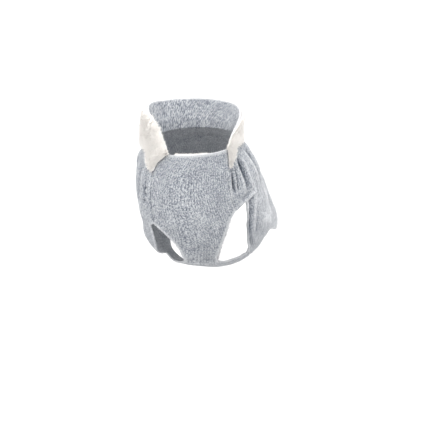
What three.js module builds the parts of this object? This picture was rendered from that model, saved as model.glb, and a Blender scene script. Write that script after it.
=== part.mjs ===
// A cat's knitted pullover with a plush collar, kept in the shape it has when it is worn.
// Millimetres, +Z up. The chest faces -Y, the wearer's left is +X and the back runs to +Y.
// The origin is the centre of the neck opening, where the wearer carries the sweater.

import * as THREE from 'three';

// ---- Driving sizes -------------------------------------------------------------------

const KNIT = 2.4;               // wall of the knitted cloth
const PLUSH_EDGE = 1.6;         // reach of the collar's pile at its thin edges
const FACING = 1.6;             // wall of the plush strip behind the chest's top edge
const GAP = 0.3;                // between the chest panel and the strip behind it
const COLLAR_GAP = 0.5;         // between the plush collar and the knit that it lies on
const HALF_GAP_TURN = 0.2;      // half a side seam's gap, as a turn in degrees
const NECK_GAP_TURN = 0.6;      // the neck seam's gap at the collar's two ends, as a turn
const NECK_GAP_ROWS = 0.03;     // and along the seam, in rows

const COLLAR_TIP_ROW = 0.8;     // the row where the collar's two ends come to a point
const SEAM_END_ROW = 3.05;      // a shoulder seam ends here, at the top of a leg hole
const HEM_ROW = 7.05;           // the belly's hem
const FLAP_ROW = 9.45;          // the back flap's hem, over the rump
const FLANK_ROW = 5;            // below this row the back panel stretches down to its flap
const FLANK_RISE = 0.3;         // the flank's hem runs this far back below the flap, in rows
const FLANK_START = 66;         // turn, in degrees, where the flank's hem starts to run back
const FLANK_FULL = 88;          // and where it has run back that far
const FLAP_START = 80;          // turn where the flap leaves the flank's hem
const FLAP_FULL = 90;           // and where it has its whole length
const FLAP_ROUND = 0.5;         // the flap is this much shorter at its sides, in rows
const HOLE_LIFT = 0.22;         // the left leg hole's upper rear corner is lifted, in rows
const TIP_TURN = 42;            // turn of the collar's two tips
const LEFT_NECK_TURN = 60;      // turn where the neck seam has risen to the first row, on the
const RIGHT_NECK_TURN = 78;     // wearer's left and right
const UPRIGHT_RISE = 0.35;      // the stand's wall is upright from this part of its height on
const LAP_ROWS = 0.12;          // the collar laps this far over the back panel, in rows
const LAP_RISE = 0.15;          // that lap, as a part of the stand's height
const LAP_UPRIGHT = -0.4;       // the collar starts to turn upright at this part of its lap
const TOP_RISE = 0.08;          // the pile stands this far over the stand's free edge
const PILE_ROUND = 0.4;         // how soon the pile is full, from the collar's edges inwards
const FACING_TURN = 31;         // half the facing's width, as a turn in degrees
const FACING_PEEK = 0.09;       // it peeks this far over the chest's top edge, in rows
const FACING_ROWS = 0.32;       // and ends this far below it
const CORNER_ROWS = [0, 0.154, 0.308, 0.462, 0.616, 0.77]; // the chest's rows beside the collar's ends
const ROW_STEP = 0.34;          // length of the panels' facets below them, in rows
const EDGE_PULL = 7;            // only the back panel's outer columns follow its edges
const BACK_COLUMNS = 40;        // facets round the back panel, the stand and the collar

// ---- Tables --------------------------------------------------------------------------

// Rings round the body, from the neck to the rump. Each is an oval between a point on the
// chest's middle line and a point on the back's. `half` is half its width, `shift` moves it
// sideways, `tuck` is how much less it reaches on the wearer's right, `full` is how square
// its chest half is and `backFull` its back half, `twist` turns the cloth on the body in
// degrees, and `slant` lifts the wearer's left side, in rows.
const RINGS = table(
  ['chestY', 'chestZ', 'backY', 'backZ', 'half', 'shift', 'tuck', 'full', 'backFull', 'twist', 'slant'],
  [
    [-34, -16, 34, 13, 48, -4.2, 0, 2.1, 2, 18, 0.0],
    [-40, -36, 49, 5, 56.5, -4, -1, 2.2, 1.8, 8.5, 0.0],
    [-43, -59, 64, -3, 61, -2.5, 0, 2.3, 1.8, 5.5, 0.1],
    [-40, -82, 78, -10, 62, -2.5, 0.8, 2.4, 1.95, 9.5, 0.28],
    [-30, -102, 92, -17, 63, -3, 4.8, 2.5, 2.2, 11.5, 0.2],
    [-14, -118, 106, -25, 62, -2.5, 1.2, 2.5, 2.45, 8, 0.1],
    [8, -127, 121, -32, 58, 0, 0, 2.4, 2.4, 3, 0.0],
    [34, -131, 135, -40, 54, 3, 0, 2.3, 2.3, 0, 0.0],
    [63, -134, 149, -48, 52, 4, 0, 2.2, 2.2, 0, 0.0],
    [91, -138, 164, -58, 51, 4, 0, 2.2, 2.2, 0, 0.0],
    [118, -142, 180, -69, 50, 4, 0, 2.2, 2.2, 0, 0.0],
  ],
);

// Half the chest panel's width to the wearer's left and right, as a turn in degrees from the
// chest's middle line: the collar's end and the shoulder seam, where the back panel meets
// it, then the inner edge of the leg hole and the side seam.
const SHOULDER = [
  [0, 38, 38], [0.154, 38.8, 40.3], [0.308, 39.4, 42.3], [0.462, 39.9, 42.9],
  [0.616, 40.2, 42.1], [0.77, 40.2, 40.6], [0.8, 40.2, 40.6], [1.5, 38, 38], [2.3, 37, 37], [3.05, 38, 38],
];
const CHEST_EDGE = table(['row', 'left', 'right'], [
  ...SHOULDER, [3.4, 28, 28], [3.9, 20.5, 20.5], [4.5, 14.8, 14.8], [5.1, 12, 12],
  [5.6, 12.8, 12.8], [5.95, 20, 20], [6.2, 36, 36], [6.3, 45, 45], [7.05, 46, 46],
]);

// The back panel's edge: the same seams, and the outer edge of the leg hole between them.
const BACK_EDGE = table(['row', 'left', 'right'], [
  ...SHOULDER, [3.13, 46, 42], [3.22, 53.5, 45.5], [3.8, 50.5, 44.2], [4.4, 48.8, 42.4],
  [5.1, 48.6, 42], [5.8, 49, 43.5], [6.3, 45, 45], [7.05, 46, 46],
]);

// The collar's free edge, from the end on the wearer's left, round the nape, to the right,
// with the reach of its pile there.
const COLLAR_EDGE = table(['x', 'y', 'z', 'pile'], [
  [35, -20, -10, 1.6],
  [38, -7, 3, 3.0],
  [42, 15, 24, 4.5],
  [28, 37, 35, 6.0],
  [-8, 45, 40, 6.5],
  [-45, 37, 38, 6.5],
  [-56, 12, 32, 7.5],
  [-35, -11, 4, 5.0],
  [-24, -33, -15, 1.6],
]);

// ---- Helpers -------------------------------------------------------------------------

function table(columns, rows) {
  return rows.map((row) => Object.fromEntries(columns.map((name, k) => [name, row[k]])));
}

// A smooth curve through evenly spaced rows of a table (Catmull-Rom).
function along(rows, name, at) {
  const last = rows.length - 1;
  const k = Math.max(0, Math.min(last - 1, Math.floor(at)));
  const f = at - k;
  const p1 = rows[k][name];
  const p2 = rows[k + 1][name];
  const p0 = k > 0 ? rows[k - 1][name] : 2 * p1 - p2;
  const p3 = k + 2 <= last ? rows[k + 2][name] : 2 * p2 - p1;
  if (f < 0) return p1 + (f * (p2 - p0)) / 2;
  const bend = 2 * p0 - 5 * p1 + 4 * p2 - p3;
  const swing = -p0 + 3 * p1 - 3 * p2 + p3;
  return 0.5 * (2 * p1 + (p2 - p0) * f + bend * f * f + swing * f * f * f);
}

// A turn read from an edge table, straight between its rows, on the wearer's left or right.
function turnAt(rows, row, isLeft) {
  let k = 0;
  while (k < rows.length - 2 && row > rows[k + 1].row) k += 1;
  const part = (row - rows[k].row) / (rows[k + 1].row - rows[k].row);
  const side = isLeft ? 'left' : 'right';
  return THREE.MathUtils.lerp(rows[k][side], rows[k + 1][side], part);
}

const power = (value, exponent) => Math.sign(value) * Math.abs(value) ** exponent;

// A point of the cloth's outer face, from its turn round the body in degrees (0 is the
// chest, 90 the wearer's left, 180 the back) and its row from the neck.
function bodyPoint(turn, row) {
  const lifted = row - along(RINGS, 'slant', row) * Math.sin(THREE.MathUtils.degToRad(turn));
  const ring = (name) => along(RINGS, name, lifted);
  const angle = THREE.MathUtils.degToRad(turn + along(RINGS, 'twist', row));
  const exponent = 2 / ring(Math.cos(angle) > 0 ? 'full' : 'backFull');
  const side = power(Math.sin(angle), exponent);
  const front = power(Math.cos(angle), exponent);
  const middleY = (ring('chestY') + ring('backY')) / 2;
  const middleZ = (ring('chestZ') + ring('backZ')) / 2;
  const reachY = (ring('backY') - ring('chestY')) / 2;
  const reachZ = (ring('backZ') - ring('chestZ')) / 2;
  return new THREE.Vector3(
    ring('shift') + (ring('half') - (side < 0 ? ring('tuck') : 0)) * side,
    middleY - reachY * front,
    middleZ - reachZ * front,
  );
}

// The outward normal of a surface at (u, v), from points a small step to each side.
function normalOf(surface, u, v, stepU, stepV) {
  const across = surface(u + stepU, v).sub(surface(u - stepU, v));
  const down = surface(u, v + stepV).sub(surface(u, v - stepV));
  return down.cross(across).normalize();
}

const bodyNormal = (turn, row) => normalOf(bodyPoint, turn, row, 1.5, 0.06);

// A closed wall between an outer and an inner grid of points with the same rows.
function wall(outer, inner) {
  const rows = outer.length;
  const columns = outer[0].length;
  const positions = [...outer.flat(), ...inner.flat()].flatMap((p) => [p.x, p.y, p.z]);
  const faces = [];
  const quad = (a, b, c, d) => faces.push(a, b, c, a, c, d);
  const out = (r, c) => r * columns + c;
  const inn = (r, c) => (rows + r) * columns + c;
  for (let r = 0; r + 1 < rows; r += 1) {
    for (let c = 0; c + 1 < columns; c += 1) {
      quad(out(r, c), out(r + 1, c), out(r + 1, c + 1), out(r, c + 1));
      quad(inn(r, c), inn(r, c + 1), inn(r + 1, c + 1), inn(r + 1, c));
    }
    quad(out(r, 0), inn(r, 0), inn(r + 1, 0), out(r + 1, 0));
    quad(out(r, columns - 1), out(r + 1, columns - 1), inn(r + 1, columns - 1), inn(r, columns - 1));
  }
  for (let c = 0; c + 1 < columns; c += 1) {
    quad(out(0, c), out(0, c + 1), inn(0, c + 1), inn(0, c));
    quad(out(rows - 1, c), inn(rows - 1, c), inn(rows - 1, c + 1), out(rows - 1, c + 1));
  }
  const geometry = new THREE.BufferGeometry();
  geometry.setAttribute('position', new THREE.Float32BufferAttribute(positions, 3));
  geometry.setIndex(faces);
  return geometry;
}

// A grid of points from lists of rows and of columns.
const gridOf = (rows, columns, point) => rows.map((v) => columns.map((u) => point(u, v)));

// `count` steps from -1 to 1.
const spread = (count) => Array.from({ length: count + 1 }, (_, k) => (2 * k) / count - 1);

// Rows from `from` to `to`, with every edge row of a table between them and even steps.
function rowsBetween(rows, from, to, step) {
  const marks = rows.map((edge) => edge.row).filter((row) => row > from && row < to);
  const ends = [from, ...marks, to];
  const list = [from];
  for (let k = 1; k < ends.length; k += 1) {
    const pieces = Math.max(1, Math.round((ends[k] - ends[k - 1]) / step));
    for (let i = 1; i <= pieces; i += 1) {
      list.push(ends[k - 1] + ((ends[k] - ends[k - 1]) * i) / pieces);
    }
  }
  return list;
}

// ---- Knitted panels ------------------------------------------------------------------

// Chest and belly: a strip down the middle line, narrow between the two leg holes.
function chestPanel() {
  const rows = [...CORNER_ROWS, ...rowsBetween(CHEST_EDGE, COLLAR_TIP_ROW, HEM_ROW, ROW_STEP)];
  const place = (across, row) => across * (turnAt(CHEST_EDGE, row, across > 0) - HALF_GAP_TURN);
  return panelWall(rows, spread(14), place, (across, row) => row);
}

// The turn from the chest's middle line, the same on both sides.
const turnFromFront = (turn) => 180 - Math.abs(180 - turn);

// How far the cloth reaches at this turn: the hem, and the flap over the rump.
function lastRow(turn) {
  const flank = HEM_ROW + FLANK_RISE * THREE.MathUtils.smoothstep(turn, FLANK_START, FLANK_FULL);
  const rounded = FLAP_ROW - FLAP_ROUND * Math.sin(THREE.MathUtils.degToRad(turn)) ** 2;
  return THREE.MathUtils.lerp(flank, rounded, THREE.MathUtils.smoothstep(turn, FLAP_START, FLAP_FULL));
}

// Where the back panel starts: at the neck, and lower towards the collar's two ends.
function firstRow(turn, gapTurn = 0) {
  const level = turn < 180 ? LEFT_NECK_TURN : RIGHT_NECK_TURN;
  const fromFront = turnFromFront(turn) + gapTurn;
  return COLLAR_TIP_ROW * (1 - THREE.MathUtils.smoothstep(fromFront, TIP_TURN, level));
}

// Where the collar and its stand start, a gap above the back panel.
const seamRow = (turn) => firstRow(turn, NECK_GAP_TURN) - NECK_GAP_ROWS;

// The turn of a column of the back panel. The columns stay level over the back, and only
// those near its edges follow the seam and the leg hole.
function backTurn(across, row) {
  const seam = turnAt(BACK_EDGE, COLLAR_TIP_ROW, across < 0);
  const edge = turnAt(BACK_EDGE, row, across < 0) + HALF_GAP_TURN;
  return 180 + across * (180 - seam) + (seam - edge) * power(across, EDGE_PULL);
}

// The leg hole on the wearer's left is pulled up into a corner, with the rows round it.
function holeLift(turn, row) {
  const { smoothstep } = THREE.MathUtils;
  const beside = smoothstep(turn, 39, 52) * (1 - smoothstep(turn, 56, 80));
  return HOLE_LIFT * beside * smoothstep(row, 2.3, 3.22) * (1 - smoothstep(row, 3.22, 3.9));
}

// Rows above the leg holes stretch up to the neck, and rows below them down to the flap.
function backRow(turn, row) {
  const fromFront = turnFromFront(turn);
  if (row < SEAM_END_ROW) {
    const part = (row - COLLAR_TIP_ROW) / (SEAM_END_ROW - COLLAR_TIP_ROW);
    return THREE.MathUtils.lerp(firstRow(turn), SEAM_END_ROW, part) - holeLift(turn, row);
  }
  if (row < FLANK_ROW) return row - holeLift(turn, row);
  return THREE.MathUtils.lerp(FLANK_ROW, lastRow(fromFront), (row - FLANK_ROW) / (HEM_ROW - FLANK_ROW));
}

// Back and flanks: from one shoulder seam over the back to the other.
function backPanel() {
  const rows = rowsBetween(BACK_EDGE, COLLAR_TIP_ROW, HEM_ROW, ROW_STEP);
  const rowAt = (across, row) => backRow(backTurn(across, row), row);
  return panelWall(rows, spread(BACK_COLUMNS), backTurn, rowAt);
}

function panelWall(rows, columns, turnOf, rowOf) {
  const face = (depth) => gridOf(rows, columns, (u, v) => {
    const turn = turnOf(u, v);
    const row = rowOf(u, v);
    return bodyPoint(turn, row).addScaledVector(bodyNormal(turn, row), -depth);
  });
  return wall(face(0), face(KNIT));
}

// ---- Collar --------------------------------------------------------------------------

// How near a column of the collar is to one of its two ends: 0 over the nape, 1 at an end.
const nearEnd = (across) => THREE.MathUtils.smoothstep(Math.abs(across), 0.78, 1);

// Where the collar's end is sewn along the chest panel's corner, from its tip upwards.
function cornerPlace(across, rise) {
  const row = (COLLAR_TIP_ROW - NECK_GAP_ROWS) * (1 - rise);
  const turn = 180 - turnAt(BACK_EDGE, Math.max(row, 0), across < 0) - NECK_GAP_TURN;
  return { turn: 180 + Math.sign(across) * turn, row };
}

function cornerPoint(across, rise) {
  const corner = cornerPlace(across, rise);
  return bodyPoint(corner.turn, corner.row);
}

// The place of a column in the table of the collar's free edge, and its point there.
const collarStep = (across) => ((across + 1) / 2) * (COLLAR_EDGE.length - 1);
const edgePoint = (across) => new THREE.Vector3(
  ...['x', 'y', 'z'].map((name) => along(COLLAR_EDGE, name, collarStep(across))),
);

// The surface that the neck stand and the collar share. `rise` is 0 at the neck seam and 1
// at the free edge, and below 0 it runs down over the back panel.
function collarPoint(across, rise) {
  const turn = backTurn(across, COLLAR_TIP_ROW);
  const start = seamRow(turn);
  if (rise <= 0) return bodyPoint(turn, start - rise * LAP_ROWS);
  const straight = cornerPoint(across, 0).lerp(edgePoint(Math.sign(across)), rise);
  const bend = cornerPoint(across, rise).sub(straight);
  return bodyPoint(turn, start).lerp(edgePoint(across), rise).addScaledVector(bend, nearEnd(across));
}

// Its outward normal, turning from the body's to its own between `from` and UPRIGHT_RISE.
function collarNormal(across, rise, from) {
  const turn = backTurn(across, COLLAR_TIP_ROW);
  const start = seamRow(turn);
  const inside = THREE.MathUtils.clamp(across, -0.97, 0.97);
  const own = normalOf(collarPoint, inside, Math.max(rise, 0.2), 0.03, 0.1).negate();
  const normal = bodyNormal(turn, start + Math.max(0, -rise) * LAP_ROWS);
  normal.lerp(own, THREE.MathUtils.smoothstep(rise, from, UPRIGHT_RISE));
  const corner = cornerPlace(across, Math.max(rise, 0));
  return normal.normalize().lerp(bodyNormal(corner.turn, corner.row), nearEnd(across)).normalize();
}

const collarFace = (rises, from, offset) => gridOf(rises, spread(BACK_COLUMNS), (across, rise) => (
  collarPoint(across, rise).addScaledVector(collarNormal(across, rise, from), offset(across, rise))));

// The knitted stand inside the collar, from the neck seam to the free edge.
function neckStand() {
  const rises = [1, 0.9, 0.8, 0.7, 0.6, 0.5, 0.4, 0.3, 0.2, 0.1, 0];
  return wall(collarFace(rises, 0, () => 0), collarFace(rises, 0, () => -KNIT));
}

// The plush collar over the stand. Its pile is full in the middle and thin at its edges.
function plushCollar() {
  const rises = [1 + TOP_RISE, 1, 0.9, 0.8, 0.7, 0.6, 0.5, 0.4, 0.3, 0.2, 0.1, 0, -0.5, -1];
  const pile = (across, rise) => {
    const middle = THREE.MathUtils.inverseLerp(-LAP_RISE, 1 + TOP_RISE, Math.max(rise, rise * LAP_RISE));
    const round = Math.max(0, 4 * middle * (1 - middle)) ** PILE_ROUND;
    const full = along(COLLAR_EDGE, 'pile', collarStep(across));
    return COLLAR_GAP + THREE.MathUtils.lerp(PLUSH_EDGE, full, round);
  };
  return wall(collarFace(rises, LAP_UPRIGHT, pile), collarFace(rises, LAP_UPRIGHT, () => COLLAR_GAP));
}

// The narrow plush strip behind the chest's top edge, which peeks out over it.
function neckFacing() {
  const columns = spread(14).map((across) => across * FACING_TURN);
  const rows = [-FACING_PEEK, 0, 0.1, 0.2, FACING_ROWS];
  const face = (depth) => gridOf(rows, columns, (turn, row) => (
    bodyPoint(turn, row).addScaledVector(bodyNormal(turn, row), -depth)));
  return wall(face(KNIT + GAP), face(KNIT + GAP + FACING));
}

// ---- Sub-parts -----------------------------------------------------------------------

const knit = new THREE.MeshStandardMaterial({ color: 0xaeb4bb, roughness: 0.95, metalness: 0 });
const plush = new THREE.MeshStandardMaterial({ color: 0xf0ebe5, roughness: 1, metalness: 0 });

function part(name, geometry, material) {
  const mesh = new THREE.Mesh(geometry, material.clone());
  mesh.name = name;
  return mesh;
}

const group = new THREE.Group();
group.add(part('chest_panel', chestPanel(), knit));
group.add(part('back_panel', backPanel(), knit));
group.add(part('neck_stand', neckStand(), knit));
group.add(part('collar', plushCollar(), plush));
group.add(part('neck_facing', neckFacing(), plush));

export default group;
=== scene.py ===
# %% [markdown]
# # A cat's knitted sweater
#
# A sleeveless pullover for a cat: a blue-grey marl knit, two holes for the front legs, a
# band round the belly, a longer back, and a cream plush collar that stands at the nape.
# It keeps the hollow shape that it has when it is worn. Every surface is worked out with
# numpy from rings round the body, then made a thin closed shell with folds and stitches.

import bpy
import numpy as np
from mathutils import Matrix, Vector


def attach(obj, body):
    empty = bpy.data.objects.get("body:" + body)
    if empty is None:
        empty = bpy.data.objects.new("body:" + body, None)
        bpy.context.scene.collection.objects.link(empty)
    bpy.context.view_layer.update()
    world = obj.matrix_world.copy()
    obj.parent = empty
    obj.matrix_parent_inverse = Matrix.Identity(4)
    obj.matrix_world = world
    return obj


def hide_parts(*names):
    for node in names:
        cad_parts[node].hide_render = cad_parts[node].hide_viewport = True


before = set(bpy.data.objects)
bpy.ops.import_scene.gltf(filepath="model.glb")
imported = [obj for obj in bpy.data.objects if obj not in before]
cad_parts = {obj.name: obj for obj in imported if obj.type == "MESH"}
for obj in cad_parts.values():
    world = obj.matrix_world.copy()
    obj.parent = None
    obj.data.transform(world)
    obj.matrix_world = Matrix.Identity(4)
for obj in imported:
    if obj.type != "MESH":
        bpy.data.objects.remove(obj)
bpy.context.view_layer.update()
MM = 0.001

# %% [markdown]
# ## The body's surface
#
# A cat's body is a bent tube: it rises from the belly to the chest and the neck. A lattice
# or a sculpted mesh could give it, but a tailor thinks in girths, so rings do it here. Each
# ring is an oval between a point on the chest's middle line and one on the back's. A
# smooth curve through the rings gives any row between them. The same rings are in the CAD
# part, in millimetres, so the cloth lies exactly where its solids are.

# %% Tables of the body and of the cut
# Two points of each ring, half its width, its shift sideways, how much less it reaches on
# the wearer's right, how square its two halves are, the cloth's twist, and its slant.
RING_COLUMNS = (
    "chest_y", "chest_z", "back_y", "back_z", "half", "shift", "tuck",
    "full", "back_full", "twist", "slant",
)
RING_ROWS = (
    (-34, -16, 34, 13, 48, -4.2, 0, 2.1, 2.0, 18, 0.0),
    (-40, -36, 49, 5, 56.5, -4, -1, 2.2, 1.8, 8.5, 0.0),
    (-43, -59, 64, -3, 61, -2.5, 0, 2.3, 1.8, 5.5, 0.1),
    (-40, -82, 78, -10, 62, -2.5, 0.8, 2.4, 1.95, 9.5, 0.28),
    (-30, -102, 92, -17, 63, -3, 4.8, 2.5, 2.2, 11.5, 0.2),
    (-14, -118, 106, -25, 62, -2.5, 1.2, 2.5, 2.45, 8, 0.1),
    (8, -127, 121, -32, 58, 0, 0, 2.4, 2.4, 3, 0.0),
    (34, -131, 135, -40, 54, 3, 0, 2.3, 2.3, 0, 0.0),
    (63, -134, 149, -48, 52, 4, 0, 2.2, 2.2, 0, 0.0),
    (91, -138, 164, -58, 51, 4, 0, 2.2, 2.2, 0, 0.0),
    (118, -142, 180, -69, 50, 4, 0, 2.2, 2.2, 0, 0.0),
)
RINGS = dict(zip(RING_COLUMNS, np.array(RING_ROWS, float).T))

# The cut's edges: a row, then half a width to the wearer's left and right, as a turn in
# degrees from the chest's middle. The collar's end and the shoulder seam are in both.
SHOULDER = (
    (0, 38, 38), (0.154, 38.8, 40.3), (0.308, 39.4, 42.3), (0.462, 39.9, 42.9),
    (0.616, 40.2, 42.1), (0.77, 40.2, 40.6), (0.8, 40.2, 40.6), (1.5, 38, 38), (2.3, 37, 37),
    (3.05, 38, 38),
)
CHEST_EDGE = np.array(SHOULDER + (
    (3.4, 28, 28), (3.9, 20.5, 20.5), (4.5, 14.8, 14.8), (5.1, 12, 12),
    (5.6, 12.8, 12.8), (5.95, 20, 20), (6.2, 36, 36), (6.3, 45, 45), (7.05, 46, 46),
))
BACK_EDGE = np.array(SHOULDER + (
    (3.13, 46, 42), (3.22, 53.5, 45.5), (3.8, 50.5, 44.2), (4.4, 48.8, 42.4),
    (5.1, 48.6, 42), (5.8, 49, 43.5), (6.3, 45, 45), (7.05, 46, 46),
))
# The collar's free edge from the wearer's left end round the nape: x, y, z and its pile.
COLLAR_COLUMNS = ("x", "y", "z", "pile")
COLLAR_ROWS = (
    (35, -20, -10, 1.6), (38, -7, 3, 3.0), (42, 15, 24, 4.5), (28, 37, 35, 6.0), (-8, 45, 40, 6.5),
    (-45, 37, 38, 6.5), (-56, 12, 32, 7.5), (-35, -11, 4, 5.0), (-24, -33, -15, 1.6),
)
COLLAR_EDGE = dict(zip(COLLAR_COLUMNS, np.array(COLLAR_ROWS, float).T))

KNIT = 2.4                            # the knit's thickness
# The gaps at the seams, as turns in degrees and in rows.
HALF_GAP_TURN, NECK_GAP_TURN, NECK_GAP_ROWS = 0.2, 0.6, 0.03
# The rows of the collar's tips, the shoulder seams' ends and the belly's hem.
COLLAR_TIP_ROW, SEAM_END_ROW, HEM_ROW = 0.8, 3.05, 7.05
# The neck seam rises from the collar's tips to these turns on the wearer's left and right.
TIP_TURN, LEFT_NECK_TURN, RIGHT_NECK_TURN = 42, 60, 78
print("rings", len(RING_ROWS))


# %% Curves through the tables
def smooth(value, low, high):
    """3t^2 - 2t^3, with t the value's place between low and high, held to 0 and 1."""
    t = np.clip((value - low) / (high - low), 0, 1)
    return t * t * (3 - 2 * t)


def along(values, at):
    """A Catmull-Rom curve through evenly spaced values, straight on before the first."""
    last = len(values) - 1
    k = np.clip(np.floor(at).astype(int), 0, last - 1)
    f = at - k
    p1, p2 = values[k], values[k + 1]
    p0 = np.where(k > 0, values[np.maximum(k - 1, 0)], 2 * p1 - p2)
    p3 = np.where(k + 2 <= last, values[np.minimum(k + 2, last)], 2 * p2 - p1)
    bend = 2 * p0 - 5 * p1 + 4 * p2 - p3
    swing = -p0 + 3 * p1 - 3 * p2 + p3
    curve = 0.5 * (2 * p1 + (p2 - p0) * f + bend * f * f + swing * f ** 3)
    return np.where(f < 0, p1 + f * (p2 - p0) / 2, curve)


def edge_turn(edge, row, is_left):
    """Half a panel's width at a row on one side, straight between the rows of its table."""
    left, right = (np.interp(row, edge[:, 0], edge[:, side]) for side in (1, 2))
    return np.where(is_left, left, right)


def power(value, exponent):
    """|value|^exponent with the value's sign."""
    return np.sign(value) * np.abs(value) ** exponent


def unit(vectors):
    """Vectors of length 1."""
    return vectors / np.maximum(np.linalg.norm(vectors, axis=-1, keepdims=True), 1e-9)


def on_ring(turn, row):
    """Where the cloth lies on the body: the turn with the twist, and the row less the
    slant times the sine of the turn."""
    lifted = row - along(RINGS["slant"], row) * np.sin(np.radians(turn))
    return turn + along(RINGS["twist"], row), lifted


def body_point(turn, row):
    """A point of the cloth's outer face in millimetres. The turn goes round the body from
    the chest (0) over the wearer's left (90) to the back (180), and the row down from the
    neck. Each ring is a superellipse: sin and cos of the angle to the power 2 / fullness."""
    degrees, lifted = on_ring(turn, row)
    ring = {name: along(values, lifted) for name, values in RINGS.items()}
    angle = np.radians(degrees)
    exponent = 2 / np.where(np.cos(angle) > 0, ring["full"], ring["back_full"])
    side, front = power(np.sin(angle), exponent), power(np.cos(angle), exponent)
    chest_end, back_end = (np.stack([ring[end + "_y"], ring[end + "_z"]], -1) for end in ("chest", "back"))
    x = ring["shift"] + (ring["half"] - np.where(side < 0, ring["tuck"], 0)) * side
    yz = (chest_end + back_end) / 2 - (back_end - chest_end) / 2 * front[..., None]
    return np.concatenate([x[..., None], yz], -1)


def normal_of(surface, u, v, step_u, step_v):
    """The outward normal: a step down the surface crossed with a step across it."""
    across = surface(u + step_u, v) - surface(u - step_u, v)
    down = surface(u, v + step_v) - surface(u, v - step_v)
    return unit(np.cross(down, across))


def body_normal(turn, row):
    """The body's outward normal, from steps of 1.5 degrees and 0.06 rows."""
    return normal_of(body_point, turn, row, 1.5, 0.06)


def turn_from_front(turn):
    """The turn from the chest's middle line, the same on both sides."""
    return 180 - np.abs(180 - turn % 360)


def first_row(turn, gap_turn=0.0):
    """The neck seam: the first row over the back, lower towards the collar's two ends."""
    level = np.where(turn % 360 < 180, LEFT_NECK_TURN, RIGHT_NECK_TURN)
    return COLLAR_TIP_ROW * (1 - smooth(turn_from_front(turn) + gap_turn, TIP_TURN, level))


steps = np.diff(body_point(np.arange(0, 361.0), np.full(361, 2.5)), axis=0)
print("girth over the shoulders", np.linalg.norm(steps, axis=1).sum().round(), "mm")

# %% [markdown]
# ## Soft unevenness
#
# Nothing about cloth is even: a fold fades, a hem waves, a pile parts. A noise texture
# could move the points, but it needs a modifier and a texture block. A sum of a few
# waves in fixed random directions does the same for whole arrays, and gives the same
# result each time.


# %% Seeded waves
def soft_noise(points, size, seed):
    """The mean of ten sine waves of about this wavelength, in seeded directions, scaled to
    about -1 to 1."""
    draw = np.random.default_rng(seed)
    directions = unit(draw.normal(size=(10, points.shape[-1])))
    rates = 2 * np.pi / (size * draw.uniform(0.7, 1.5, 10))
    phases = draw.uniform(0, 2 * np.pi, 10)
    waves = np.sin(points @ (directions * rates[:, None]).T + phases)
    return waves.mean(-1) * 1.9


print("noise", soft_noise(np.zeros((1, 3)), 10, 1))

# %% [markdown]
# ## Folds
#
# The knit is close to the body, so it has few folds, and they are where the cloth is
# pulled: they fan out below the collar's end over the shoulder, they run from the top of
# each leg hole, and small ones press together where the shoulder moves. A cloth
# simulation would need the wearer's body and would not put them there. So each fold is
# one row of a table: where it starts and ends on the body, how far it bows, its width and
# its height, below zero for a trough.

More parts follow.
